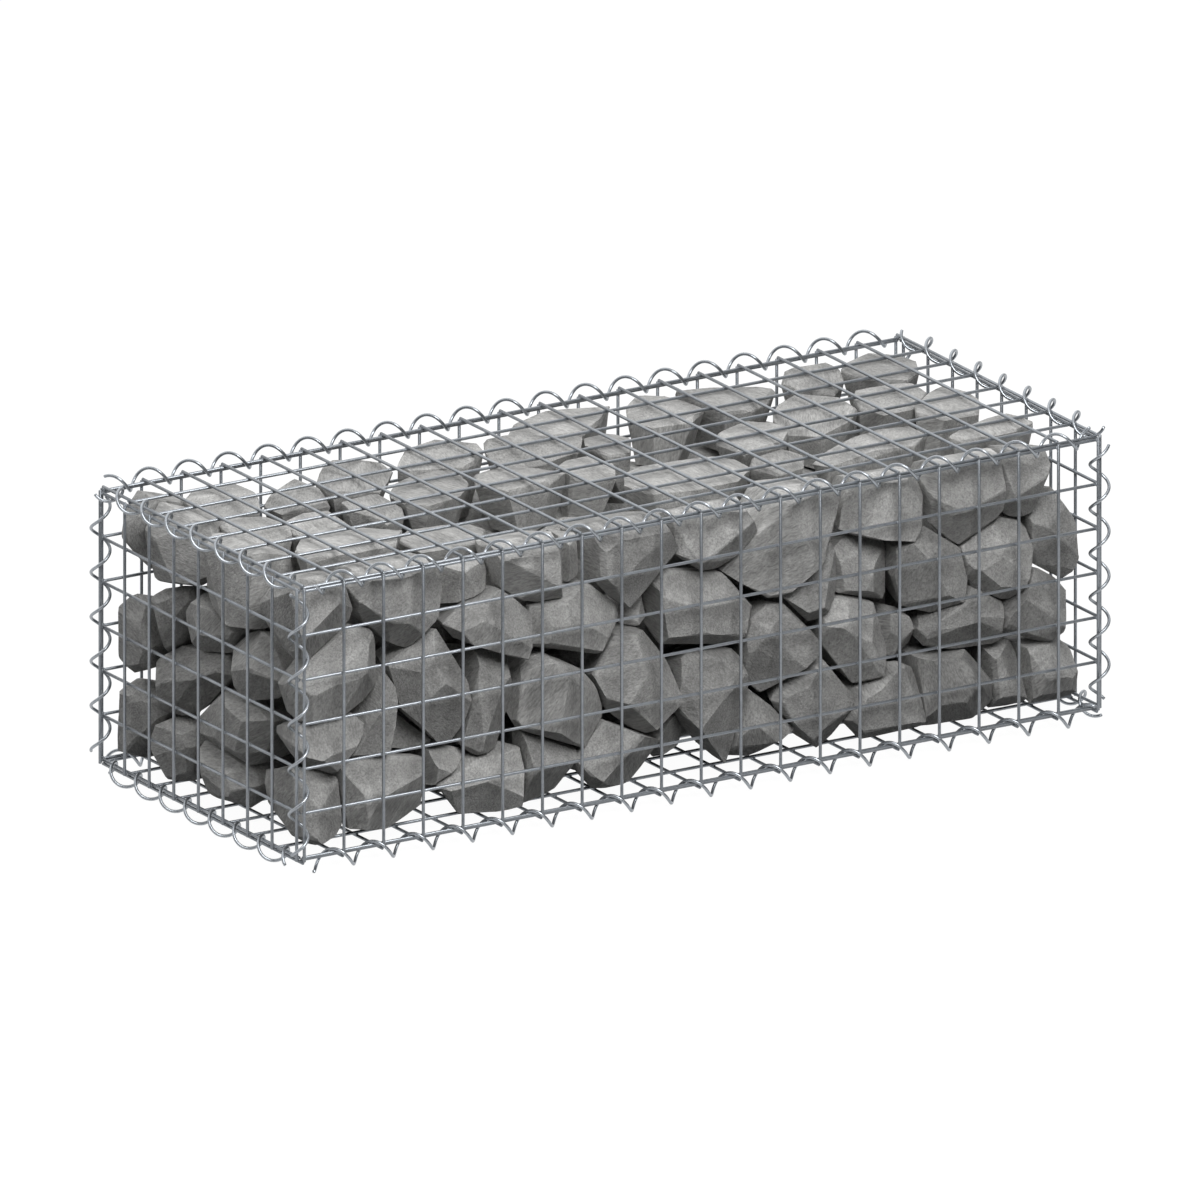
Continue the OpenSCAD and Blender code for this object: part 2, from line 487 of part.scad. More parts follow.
function drawn_stone(side, drawn, seed) =
    let (part = side[3],
         start = side[4],
         outline = [for (p = drawn[1])
             (start.x + part.x * p.x) * side[0] + (start.y + part.y * p.y) * side[1]],
         centre = [for (i = [0 : 2]) middle([for (p = outline) p[i]])],
         out = side[5] - row_d * (side[6][0] + drawn[0]))
    [centre + out * side[2], seed, undef, [for (p = outline) p - centre], side[2], side[0], side[6]];

function rule_stone(row, course, i, seed) =
    let (stray = stray_share * rands(-1, 1, 3, seed),
         size = rands(size_shares[0], size_shares[1], 3, seed + row_stones),
         shift = ((row + course) % 2 - 1 / 2) / 2,
         inward = row == rows - 1 ? -abs(stray.y) : stray.y)
    [in_room([row_span_share * (i + 1 / 2 + shift + stray.x) / row_stones,
              (row + 1 / 2 + inward) / rows,
              (course + 1 / 2 + stray.z) / courses]),
     seed, half_sizes(size), []];

function front_course(course) =
    [for (i = [0 : len(front_shares[course]) - 1])
        drawn_stone(front_side, front_shares[course][i], 1 + i + course_seed_count * course)];

function inner_course(row, course) =
    let (seed = 1 + course_seed_count * (course + courses * row),
         lid = course == courses - 1 ? lid_shares[row - 1] : [],
         count = len(lid) > 0 ? len(lid) : row_stones - 1)
    [drawn_stone(left_side, left_shares[row - 1][course], seed),
     for (i = [1 : count])
         len(lid) > 0 ? drawn_stone(lid_side, lid[i - 1], seed + i) : rule_stone(row, course, i, seed + i)];

function course_stones(row, course) = row == 0 ? front_course(course) : inner_course(row, course);
function all_stones() =
    [for (row = [0 : rows - 1], course = [0 : courses - 1]) each course_stones(row, course)];

// How far a stone reaches from its centre towards n
function is_drawn(stone) = len(stone[3]) > 0;
function outline_reach(stone, n) = max([for (p = stone[3]) p * n]);
function reach(stone, n) =
    is_drawn(stone) ? outline_reach(stone, n) + abs(stone[4] * n) * row_d / 2
                    : norm([for (i = [0 : 2]) stone[2][i] * n[i]]);

// Directions away from the edges of a drawn stone's outline
function edge_normals(stone) =
    let (outline = stone[3], count = len(outline))
    [for (i = [0 : count - 1])
        let (n = unit(cross(stone[4], outline[(i + 1) % count] - outline[i])))
        n * (outline[i] * n < 0 ? -1 : 1)];

// Broken faces of a drawn stone: two at each edge of its outline, two fronts and a back
function drawn_faces(stone) =
    let (normals = edge_normals(stone),
         count = len(normals),
         out = stone[4],
         depth = stone[6][0],
         r = rands(0, 1, 2 * count, stone[1]),
         t = rands(-1, 1, 4, stone[1] + course_seed_count / 2),
         tilt = stone[6][1] * (t[0] * stone[5] + t[1] * cross(out, stone[5])),
         fronts = [unit(out + tilt), unit(out - tilt * abs(t[2])), unit(-out + tilt * t[3])],
         depths = row_d * [depth, depth, drawn_depth_share - depth])
    concat(
        [for (i = [0 : count - 1])
            let (h = outline_reach(stone, normals[i]) + drawn_growth_share * row_d,
                 front = front_leans[0] + (front_leans[1] - front_leans[0]) * pow(r[i], 2),
                 back = back_leans[0] + (back_leans[1] - back_leans[0]) * r[count + i])
            each [[normals[i] * cos(front) + out * sin(front), h * cos(front)],
                  [normals[i] * cos(back) - out * sin(back), h * cos(back)]]],
        [for (i = [0 : 2]) [fronts[i], depths[i] * abs(fronts[i] * out)]]);

// Broken faces of a rule-placed stone: an even spread of directions, turned and leant by its seed
function rule_faces(stone) =
    let (r = rands(-1, 1, 6 + 4 * stone_facets, stone[1]),
         w = unit([r[0], r[1], r[2]]),
         u = unit(cross(w, [r[3], r[4], r[5]])),
         v = cross(w, u))
    [for (i = [0 : stone_facets - 1])
        let (k = 6 + 4 * i,
             h = 1 - (2 * i + 1) / stone_facets,
             ring = sqrt(1 - h * h),
             even = ring * (cos(golden_angle * i) * u + sin(golden_angle * i) * v) + h * w,
             n = unit(even + lean_share * [r[k], r[k + 1], r[k + 2]]))
        [n, reach(stone, n) * (1 - cut_share * (1 + r[k + 3]) / 2)]];

// The face between two stones drawn on one side, along the edge that parts their outlines best, and of
// edges that part them alike, the one that most nearly crosses the line between their centres
function outline_face(stone, other) =
    let (to = other[0] - stone[0],
         ways = concat(edge_normals(stone), [for (n = edge_normals(other)) -n]),
         gaps = [for (n = ways) to * n - outline_reach(stone, n) - outline_reach(other, -n)],
         ranks = [for (i = [0 : len(ways) - 1]) gaps[i] + cross_share * to * ways[i]],
         best = search(max(ranks), ranks)[0],
         n = ways[best])
    gaps[best] > drawn_near_share * row_d
        ? []
        : [[n, outline_reach(stone, n) + (gaps[best] - stone_gap) / 2]];

// The face between any other two stones, across the line between their centres
function centre_face(stone, other) =
    let (to = other[0] - stone[0],
         n = unit(to),
         own = reach(stone, n),
         theirs = reach(other, -n))
    norm(to) > near_share * (own + theirs) ? [] : [[n, norm(to) * own / (own + theirs) - stone_gap / 2]];

function neighbour_faces(stone, stones) =
    [for (other = stones)
        if (other[1] != stone[1])
            each is_drawn(stone) && is_drawn(other) && stone[4] == other[4] ? outline_face(stone, other)
                                                                            : centre_face(stone, other)];

function stone_faces(stone, stones) =
    concat(is_drawn(stone) ? drawn_faces(stone) : rule_faces(stone), neighbour_faces(stone, stones));

// All space on the near side of a face
module half_space(face) {
    n = face[0];
    rotate([0, acos(n.z), atan2(n.y, n.x)])
        translate([-half_space_reach, -half_space_reach, face[1] - 2 * half_space_reach])
            cube(2 * half_space_reach);
}

module stone_shape(stone, stones) {
    intersection() {
        translate(fill_low)
            cube(fill_size);
        translate(stone[0])
            intersection_for(face = stone_faces(stone, stones))
                half_space(face);
    }
}

module stones(row, course) {
    stones = all_stones();
    color(stone_color)
        for (stone = course_stones(row, course))
            stone_shape(stone, stones);
}

front_panel();
back_panel();
left_end_panel();
right_end_panel();
base_panel();
lid_panel();
front_top_spiral();
front_bottom_spiral();
back_top_spiral();
back_bottom_spiral();
left_top_spiral();
left_bottom_spiral();
right_top_spiral();
right_bottom_spiral();
front_left_spiral();
front_right_spiral();
back_left_spiral();
back_right_spiral();
stones(0, 0);  // front_stones_bottom
stones(0, 1);  // front_stones_lower
stones(0, 2);  // front_stones_upper
stones(0, 3);  // front_stones_top
stones(1, 0);  // second_stones_bottom
stones(1, 1);  // second_stones_lower
stones(1, 2);  // second_stones_upper
stones(1, 3);  // second_stones_top
stones(2, 0);  // third_stones_bottom
stones(2, 1);  // third_stones_lower
stones(2, 2);  // third_stones_upper
stones(2, 3);  // third_stones_top
stones(3, 0);  // back_stones_bottom
stones(3, 1);  // back_stones_lower
stones(3, 2);  // back_stones_upper
stones(3, 3);  // back_stones_top
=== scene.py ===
import math
from collections import namedtuple

import bmesh
import bpy
import numpy as np
from mathutils import Matrix, Vector, geometry, noise


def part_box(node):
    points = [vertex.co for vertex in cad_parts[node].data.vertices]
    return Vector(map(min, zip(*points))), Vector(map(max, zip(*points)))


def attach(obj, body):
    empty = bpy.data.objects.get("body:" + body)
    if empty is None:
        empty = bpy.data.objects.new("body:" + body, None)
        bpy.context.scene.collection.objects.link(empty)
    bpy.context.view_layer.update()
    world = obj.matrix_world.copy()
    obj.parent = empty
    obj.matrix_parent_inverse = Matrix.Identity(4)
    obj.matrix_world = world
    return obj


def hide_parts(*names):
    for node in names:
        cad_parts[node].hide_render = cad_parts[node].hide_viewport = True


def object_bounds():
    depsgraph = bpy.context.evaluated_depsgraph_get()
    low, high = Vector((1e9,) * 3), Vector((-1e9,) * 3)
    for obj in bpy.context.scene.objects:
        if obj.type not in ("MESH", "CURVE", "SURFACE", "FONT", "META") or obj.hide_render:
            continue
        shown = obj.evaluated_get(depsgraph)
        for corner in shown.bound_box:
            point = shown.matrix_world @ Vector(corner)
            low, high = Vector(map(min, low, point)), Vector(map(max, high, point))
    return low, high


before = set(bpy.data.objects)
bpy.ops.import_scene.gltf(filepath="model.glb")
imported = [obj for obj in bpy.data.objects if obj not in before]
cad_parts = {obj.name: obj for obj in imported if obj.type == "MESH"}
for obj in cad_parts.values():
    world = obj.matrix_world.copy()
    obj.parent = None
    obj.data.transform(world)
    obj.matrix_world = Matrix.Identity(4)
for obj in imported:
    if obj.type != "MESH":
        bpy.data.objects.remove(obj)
cad_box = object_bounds()

# Sizes in metres
MM = 0.001
MESH_PITCH = 50 * MM
WIRE_D = 3.5 * MM
SPIRAL_D = 24 * MM
SPIRAL_WIRE_D = 3.5 * MM
# Cut wire ends lose their sharp rim over this length
CUT_BEVEL = 0.35 * MM
# Clear length between a wire's end and the next panel
STUB_GAP = 0.3 * MM

# How finely wires are divided, and the angle from which their edges stay sharp
WIRE_SIDES = 14
SPIRAL_STEPS = 32
SHARP_ANGLE = math.radians(50)
# The weld beads at the crossings: half sizes along the wires and across them
BEAD_REACH = 2.5 * MM
BEAD_RISE = 1.3 * MM
BEAD_SIDES = 10
BEAD_RINGS = 5

# Stones: distance between surface points, the share of it that a line may run over before it is divided
# once more, and the share of it that a face's inner points keep from the rim
STONE_STEP = 6 * MM
STEP_SLACK = 0.25
RIM_CLEAR = 0.5
# Points this close are one, and faces that meet at less than this angle are one
WELD_REACH = 0.02 * MM
FLAT_ANGLE = math.radians(0.6)
# The kind of triangulation that fills an outline's inside only, and the distance that it takes as zero
FILL_INSIDE = 1
FILL_REACH = 1e-9
# How deep broken edges are worn and how far that leans along them, and how deep and how many corners are
EDGE_WEAR = (0.5 * MM, 1.5 * MM)
EDGE_TILT = 0.05
CORNER_WEAR = (0.5 * MM, 2.5 * MM)
CORNER_CHIPS = 4
# Waves and dents pressed into the broken faces: depth and length of each, and how far the stones' places
# in the noise are spread
SURFACE_WAVES = ((1.1 * MM, 34 * MM), (0.45 * MM, 11 * MM))
WAVE_SPREAD = 10
# The grain is drawn out along one direction of each stone, which strays from a common one, and the stones'
# places in its noise are spread
GRAIN_STRETCH = 0.22
GRAIN_LEAN = (0, -1, 0.4)
GRAIN_STRAY = 0.7
GRAIN_SPREAD = 3

# Noise patterns: scale, detail, roughness, and the shades where the noise is low and high
Pattern = namedtuple("Pattern", "scale detail roughness dark light")
NOISE_RANGE = (0.3, 0.7)
STONE_CLOUDS = Pattern(45, 4, 0.6, 0.82, 1.18)
STONE_GRAIN = Pattern(260, 4, 0.65, 0.86, 1.13)
STONE_SPECKS = Pattern(520, 3, 0.7, 0.76, 1.22)
ZINC_CLOUDS = Pattern(120, 3, 0.6, 0.88, 1.1)
ZINC_GRAIN = Pattern(900, 3, 0.6, 0.9, 1.08)
# Stone: its colour, how its tones differ, the painted highlight on worn edges, its gloss and its relief
STONE_COLOR = (0.327, 0.325, 0.318)
STONE_TONES = (0.86, 1.14)
EDGE_HIGHLIGHT_TONES = (1, 1.1)
STONE_ROUGHNESS = (0.95, 0.78)
STONE_SPECULAR = 0.25
STONE_BUMP = 0.8
GRAIN_RELIEF = 1.1 * MM
SPECK_RELIEF = 0.6 * MM
# Zinc: each wire's colour, roughness and share of bare metal, and what the grain adds to it
Zinc = namedtuple("Zinc", "color roughness metallic")
MESH_ZINC = Zinc((0.26, 0.279, 0.302), 0.32, 0.65)
SPIRAL_ZINC = Zinc((0.34, 0.362, 0.388), 0.3, 0.85)
ROUGHNESS_SPREAD = (-0.06, 0.08)
ZINC_BUMP = 0.25
ZINC_RELIEF = 0.15 * MM

# The camera, fitted to the wire crossings of the front and left panels in the 1200 pixel photograph
FRAME_SIDE = 1200
PIXELS_PER_METRE = 933.74
AZIMUTH = math.radians(-31.76)
ELEVATION = math.radians(18.01)
LOWEST_WIRE_PIXEL = (600.03, 732.28)
CAMERA_DISTANCE = 4

# The sky grows brighter up and towards the back: the direction, how far it grows, its strengths
SKY_LEAN = (0.05, 0.6, 0.85)
SKY_RISE = 0.9
SKY_STRENGTHS = (0.02, 1.5)
# The key lamp: where it stands from the basket's middle, its side and its power
KEY_DIRECTION = Vector((-0.2, -0.62, 0.6))
KEY_DISTANCE = 3
KEY_SIZE = 1.4
KEY_POWER = 77
# The floor: half its side, its own grey, and its strength for the camera and in reflections
FLOOR_HALF = 12
FLOOR_GREY = 0.06
FLOOR_ROUGHNESS = 0.9
FLOOR_WHITE = 0.965
WHITE = (1, 1, 1, 1)

X_AXIS = Vector((1, 0, 0))
Y_AXIS = Vector((0, 1, 0))
Z_AXIS = Vector((0, 0, 1))


def box_centre(node):
    low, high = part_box(node)
    return (low + high) / 2


def box_size(node):
    low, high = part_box(node)
    return high - low


# The basket's wire spacing and planes, read from the frame
half_layer = (box_size("front_panel").y - WIRE_D) / 2
plane_x = box_centre("right_end_panel").x
plane_y = box_centre("back_panel").y
base_z = box_centre("base_panel").z
lid_z = box_centre("lid_panel").z
basket_l = box_size("front_panel").x - WIRE_D
edge_inset = plane_x - basket_l / 2
basket_d = 2 * (plane_y - edge_inset)
basket_h = lid_z - base_z - 2 * edge_inset
outer_stub = (box_size("front_panel").z - basket_h) / 2
inner_stub = edge_inset - half_layer - WIRE_D / 2 - STUB_GAP


# Meshes

def joined(parts):
    """One (points, faces) pair from several."""
    points, faces, start = [], [], 0
    for part_points, part_faces in parts:
        points.append(part_points)
        faces += [[start + i for i in face] for face in part_faces]
        start += len(part_points)
    return np.concatenate(points), faces


def tube(centres, outs, sides, radii, around):
    """A closed round tube: rings of points about the centres, spanned by the outs and sides vectors."""
    turn = np.linspace(0, 2 * math.pi, around, endpoint=False)
    spread = (np.cos(turn)[None, :, None] * outs[:, None, :]
              + np.sin(turn)[None, :, None] * sides[:, None, :])
    points = (centres[:, None, :] + radii[:, None, None] * spread).reshape(-1, 3)
    rings = len(centres)
    faces = [[k * around + s, k * around + (s + 1) % around,
              (k + 1) * around + (s + 1) % around, (k + 1) * around + s]
             for k in range(rings - 1) for s in range(around)]
    faces.append(list(range(around))[::-1])
    faces.append([(rings - 1) * around + s for s in range(around)])
    return points, faces


def straight_wire(centre, along, across, length):
    """A cut straight wire about its centre."""
    half = length / 2
    places = np.array([-half, CUT_BEVEL - half, half - CUT_BEVEL, half])
    radii = WIRE_D / 2 - np.array([CUT_BEVEL, 0, 0, CUT_BEVEL])
    centres = np.array(centre) + places[:, None] * np.array(along)
    outs = np.tile(np.array(across), (len(places), 1))
    sides = np.tile(np.array(along.cross(across)), (len(places), 1))
    return tube(centres, outs, sides, radii, WIRE_SIDES)


def weld_bead(centre, along, across, out):
    """The squeezed metal where two wires are welded: a flat rounded bead."""
    heights = np.linspace(-1, 1, BEAD_RINGS + 2)[1:-1]
    centres = np.array(centre) + BEAD_RISE * heights[:, None] * np.array(out)
    radii = BEAD_REACH * np.sqrt(1 - heights ** 2)
    outs = np.tile(np.array(along), (BEAD_RINGS, 1))
    sides = np.tile(np.array(across), (BEAD_RINGS, 1))
    return tube(centres, outs, sides, radii, BEAD_SIDES)


def mesh_object(name, points, faces, material):
    mesh = bpy.data.meshes.new(name)
    mesh.from_pydata([tuple(p) for p in points], [], faces)
    mesh.validate()
    mesh.materials.append(material)
    piece = bpy.data.objects.new(name, mesh)
    bpy.context.scene.collection.objects.link(piece)
    return piece


def dress(piece, node):
    """The piece stands for a node: it hangs from the root body, and the node's own part is hidden."""
    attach(piece, "root")
    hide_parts(node)


def smooth_metal(piece):
    piece.data.shade_smooth()
    piece.data.set_sharp_from_angle(angle=SHARP_ANGLE)


# Welded panels

def panel_wires(node, along, across, out, length, height):
    """Inner wires run along the panel, outer wires across it, with a bead at each crossing."""
    centre = box_centre(node)
    columns = round(length / MESH_PITCH)
    rows = round(height / MESH_PITCH)
    places = [length * (i / columns - 0.5) for i in range(columns + 1)]
    levels = [height * (j / rows - 0.5) for j in range(rows + 1)]
    inner = [straight_wire(centre + level * across - half_layer * out, along, out, length + 2 * inner_stub)
             for level in levels]
    outer = [straight_wire(centre + place * along + half_layer * out, across, out, height + 2 * outer_stub)
             for place in places]
    beads = [weld_bead(centre + place * along + level * across, along, across, out)
             for place in places for level in levels]
    return joined(inner + outer + beads)


def make_panels(material):
    panels = {
        "front_panel": (X_AXIS, Z_AXIS, -Y_AXIS, basket_l, basket_h),
        "back_panel": (-X_AXIS, Z_AXIS, Y_AXIS, basket_l, basket_h),
        "left_end_panel": (-Y_AXIS, Z_AXIS, -X_AXIS, basket_d, basket_h),
        "right_end_panel": (Y_AXIS, Z_AXIS, X_AXIS, basket_d, basket_h),
        "base_panel": (X_AXIS, -Y_AXIS, -Z_AXIS, basket_l, basket_d),
        "lid_panel": (X_AXIS, Y_AXIS, Z_AXIS, basket_l, basket_d),
    }
    for node, shape in panels.items():
        piece = mesh_object(node + "_wires", *panel_wires(node, *shape), material)
        smooth_metal(piece)
        dress(piece, node)


# Spirals

def spiral_tube(node, axis, first, second, pitch):
    """A right-handed coil about the node's axis, at the turn that the node's own points have."""
    centre = np.array(box_centre(node))
    axis, first, second = (np.array(v) for v in (axis, first, second))
    points = np.array([v.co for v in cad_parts[node].data.vertices]) - centre
    height = points @ axis
    angle = np.arctan2(points @ second, points @ first) - 2 * math.pi * height / pitch
    start = math.atan2(np.sin(angle).mean(), np.cos(angle).mean())

    radius = (SPIRAL_D - SPIRAL_WIRE_D) / 2
    rise = pitch / (2 * math.pi)
    slant = SPIRAL_WIRE_D / 2 * radius / math.hypot(radius, rise)
    low, high = height.min() + slant, height.max() - slant
    bevel = CUT_BEVEL * rise / math.hypot(radius, rise)
    steps = round((high - low) / pitch * SPIRAL_STEPS)
    heights = np.concatenate([[low], np.linspace(low + bevel, high - bevel, steps), [high]])
    turn = start + 2 * math.pi * heights / pitch
    outs = np.cos(turn)[:, None] * first + np.sin(turn)[:, None] * second
    tangents = radius * (np.cos(turn)[:, None] * second - np.sin(turn)[:, None] * first) + rise * axis
    tangents /= np.linalg.norm(tangents, axis=1)[:, None]
    centres = centre + heights[:, None] * axis + radius * outs
    radii = np.full(len(heights), SPIRAL_WIRE_D / 2)
    radii[[0, -1]] -= CUT_BEVEL
    return tube(centres, outs, np.cross(tangents, outs), radii, WIRE_SIDES)


def make_spirals(material):
    long_edge = (X_AXIS, Y_AXIS, Z_AXIS, basket_l / round(basket_l / MESH_PITCH))
    short_edge = (Y_AXIS, Z_AXIS, X_AXIS, basket_d / round(basket_d / MESH_PITCH))
    upright = (Z_AXIS, X_AXIS, Y_AXIS, basket_h / round(basket_h / MESH_PITCH))
    edges = {
        "front_top": long_edge,
        "front_bottom": long_edge,
        "back_top": long_edge,
        "back_bottom": long_edge,
        "left_top": short_edge,
        "left_bottom": short_edge,
        "right_top": short_edge,
        "right_bottom": short_edge,
        "front_left": upright,
        "front_right": upright,
        "back_left": upright,
        "back_right": upright,
    }
    for edge, shape in edges.items():
        node = edge + "_spiral"
        piece = mesh_object(node + "_wire", *spiral_tube(node, *shape), material)
        smooth_metal(piece)
        dress(piece, node)


# Stones

def separate_stones(node):
    """The stones of a node, each as its own bmesh of flat faces, from left to right."""
    whole = bmesh.new()
    whole.from_mesh(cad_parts[node].data)
    bmesh.ops.remove_doubles(whole, verts=whole.verts, dist=WELD_REACH)
    bmesh.ops.dissolve_limit(whole, angle_limit=FLAT_ANGLE, verts=whole.verts, edges=whole.edges)
    waiting = set(whole.faces)
    groups = []
    for face in whole.faces:
        if face not in waiting:
            continue
        waiting.discard(face)
        group, queue = [], [face]
        while queue:
            here = queue.pop()
            group.append(here)
            for beside in {f for e in here.edges for f in e.link_faces} & waiting:
                waiting.discard(beside)
                queue.append(beside)
        groups.append(group)
    stones = []
    for group in groups:
        corners = sorted({v for f in group for v in f.verts}, key=lambda v: v.index)
        order = {v: i for i, v in enumerate(corners)}
        stone = bmesh.new()
        for v in corners:
            stone.verts.new(v.co)
        stone.verts.ensure_lookup_table()
        for f in sorted(group, key=lambda f: f.index):
            stone.faces.new([stone.verts[order[v]] for v in f.verts])
        stone.normal_update()
        stones.append(stone)
    whole.free()
    return sorted(stones, key=lambda s: sum(v.co.x for v in s.verts) / len(s.verts))


def cut_away(stone, point, normal, worn):
    """Cuts off what lies past a plane and closes the stone with a face marked as worn."""
    geom = stone.verts[:] + stone.edges[:] + stone.faces[:]
    cut = bmesh.ops.bisect_plane(stone, geom=geom, plane_co=point, plane_no=normal, clear_outer=True)
    rim = [e for e in cut["geom_cut"] if isinstance(e, bmesh.types.BMEdge)]
    if rim:
        for face in bmesh.ops.edgeloop_fill(stone, edges=rim)["faces"]:
            face[worn] = 1


def wear_edges(stone, rng):
    """Takes the sharp rim off every broken edge, and chips some corners."""
    worn = stone.faces.layers.int.new("worn")
    cuts = []
    for edge in stone.edges:
        first, second = (f.normal for f in edge.link_faces)
        along = (edge.verts[1].co - edge.verts[0].co).normalized()
        depth = rng.uniform(*EDGE_WEAR) * math.sin(first.angle(second) / 2)
        normal = (first + second).normalized() + rng.uniform(-EDGE_TILT, EDGE_TILT) * along
        middle = (edge.verts[0].co + edge.verts[1].co) / 2
        cuts.append((middle - depth * normal, normal.normalized()))
    corners = rng.choice(len(stone.verts), min(CORNER_CHIPS, len(stone.verts)), replace=False)
    stone.verts.ensure_lookup_table()
    for i in sorted(corners):
        corner = stone.verts[i]
        normal = sum((f.normal for f in corner.link_faces), Vector()).normalized()
        cuts.append((corner.co - rng.uniform(*CORNER_WEAR) * normal, normal))
    for point, normal in cuts:
        cut_away(stone, point, normal, worn)
    return worn


def spaced_line(start, end):
    """Points from start up to, and without, end, about a stone step apart."""
    count = max(1, math.ceil((end - start).length / STONE_STEP - STEP_SLACK))
    return [start.lerp(end, k / count) for k in range(count)]


def face_triangles(face):
    """Even triangles over a flat convex face, as points and index triples."""
    corners = [v.co for v in face.verts]
    rim = []
    for i, v in enumerate(face.verts):
        following = face.verts[(i + 1) % len(corners)]
        if v.index < following.index:
            rim += spaced_line(v.co, following.co)
        else:
            rim += [v.co] + spaced_line(following.co, v.co)[:0:-1]
    origin = face.calc_center_median()
    first = (corners[1] - corners[0]).normalized()
    second = face.normal.cross(first)
    flat = np.array([((p - origin).dot(first), (p - origin).dot(second)) for p in rim])

    low, high = flat.min(0), flat.max(0)
    row_step = STONE_STEP * math.sqrt(3) / 2
    grid = []
    for j, y in enumerate(np.arange(low[1] + row_step / 2, high[1], row_step)):
        start = low[0] + STONE_STEP / 2 * (j % 2)
        grid += [(x, y) for x in np.arange(start, high[0], STONE_STEP)]
    grid = np.array(grid).reshape(-1, 2)
    edges = np.roll(flat, -1, axis=0) - flat
    lengths = np.linalg.norm(edges, axis=1)
    inside = np.ones(len(grid), bool)
    for (x, y), (dx, dy), length in zip(flat, edges, lengths):
        inside &= (dx * (grid[:, 1] - y) - dy * (grid[:, 0] - x)) > RIM_CLEAR * STONE_STEP * length
    flat = np.concatenate([flat, grid[inside]])
    outline = [list(range(len(rim)))]
    places, _, triangles, *_ = geometry.delaunay_2d_cdt(
        [Vector(p) for p in flat], [], outline, FILL_INSIDE, FILL_REACH)
    points = [origin + p.x * first + p.y * second for p in places]
    return points, triangles


def stone_skin(stone, rng):
    """A worn stone: points, triangles, corner normals, grain places, worn edges for a painted highlight."""
    worn = wear_edges(stone, rng)
    bmesh.ops.remove_doubles(stone, verts=stone.verts, dist=WELD_REACH)
    stone.normal_update()
    stone.verts.index_update()
    index, points, triangles, facets, weights, wear_and_highlight = {}, [], [], [], [], []
    for number, face in enumerate(stone.faces):
        if len(face.verts) < 3 or face.calc_area() < WELD_REACH ** 2:
            continue
        face_points, face_faces = face_triangles(face)
        local = []
        for p in face_points:
            key = tuple(round(c / WELD_REACH) for c in p)
            if key not in index:
                index[key] = len(points)
                points.append(p)
            local.append(index[key])
        for triangle in face_faces:
            picked = [local[i] for i in triangle]
            if len(set(picked)) == 3:
                triangles.append(picked)
                facets.append(number)
                weights.append(face.calc_area())
                wear_and_highlight.append(face[worn])
    points = np.array(points)
    triangles = np.array(triangles)
    weights = np.array(weights)

    normals = point_normals(points, triangles, weights)
    offset = rng.uniform(-WAVE_SPREAD, WAVE_SPREAD, 3)
    for depth, length in SURFACE_WAVES:
        heights = np.array([noise.noise(Vector(p / length + offset)) for p in points])
        points = points - normals * (depth * (0.5 + 0.5 * heights))[:, None]
    normals = corner_normals(points, triangles, np.array(facets))

    # Points on worn faces, which the material paints lighter as a painted highlight along the edges
    edge = np.zeros(len(points))
    np.maximum.at(edge, triangles.ravel(), np.repeat(np.array(wear_and_highlight, float), 3))
    turn = random_turn(rng)
    grain = ((points - points.mean(0)) @ turn) * np.array([1, 1, GRAIN_STRETCH])
    grain = grain + rng.uniform(-GRAIN_SPREAD, GRAIN_SPREAD, 3)
    return points, triangles, normals, grain, edge


def point_normals(points, triangles, weights):
    """Point normals in which the large flat faces outweigh the narrow worn ones."""
    a, b, c = (points[triangles[:, i]] for i in range(3))
    area_normals = np.cross(b - a, c - a) * weights[:, None]
    normals = np.zeros_like(points)
    for i in range(3):
        np.add.at(normals, triangles[:, i], area_normals)
    return normals / np.linalg.norm(normals, axis=1)[:, None]


def corner_normals(points, triangles, facets):
    """A normal for each corner of each triangle, smooth within a facet and broken at its rim."""
    a, b, c = (points[triangles[:, i]] for i in range(3))
    keys = triangles * (facets.max() + 1) + facets[:, None]
    _, places = np.unique(keys, return_inverse=True)
    places = places.reshape(-1)
    normals = np.zeros((places.max() + 1, 3))
    np.add.at(normals, places, np.repeat(np.cross(b - a, c - a), 3, axis=0))
    return (normals / np.linalg.norm(normals, axis=1)[:, None])[places]


def random_turn(rng):
    """A turn whose third direction leans towards the front and up."""
    third = np.array(GRAIN_LEAN) + rng.uniform(-GRAIN_STRAY, GRAIN_STRAY, 3)
    third /= np.linalg.norm(third)
    first = np.cross(third, rng.uniform(-1, 1, 3))
    first /= np.linalg.norm(first)
    return np.stack([first, np.cross(third, first), third], axis=1)


def add_point_values(mesh, name, kind, values):
    attribute = mesh.attributes.new(name, kind, "POINT")
    attribute.data.foreach_set("vector" if kind == "FLOAT_VECTOR" else "value", np.ravel(values))


def make_stones(material):
    nodes = [n for n in sorted(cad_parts) if "_stones_" in n]
    for number, node in enumerate(nodes):
        rng = np.random.default_rng(number)
        skins = [stone_skin(stone, rng) for stone in separate_stones(node)]
        tones = np.concatenate([np.full(len(s[0]), rng.uniform(-1, 1)) for s in skins])
        points, faces = joined([(s[0], s[1].tolist()) for s in skins])
        piece = mesh_object(node.replace("_stones_", "_rocks_"), points, faces, material)
        piece.data.shade_smooth()
        normals = np.concatenate([s[2] for s in skins])
        piece.data.normals_split_custom_set([tuple(n) for n in normals])
        add_point_values(piece.data, "stone_grain", "FLOAT_VECTOR", np.concatenate([s[3] for s in skins]))
        # Worn-edge points, painted lighter in the material as a painted highlight
        add_point_values(piece.data, "stone_edge_highlight", "FLOAT", np.concatenate([s[4] for s in skins]))
        add_point_values(piece.data, "stone_tone", "FLOAT", tones)
        dress(piece, node)


# Materials

def new_material(name):
    material = bpy.data.materials.new(name)
    material.use_nodes = True
    nodes = material.node_tree.nodes
    return material, nodes, material.node_tree.links, nodes["Principled BSDF"]


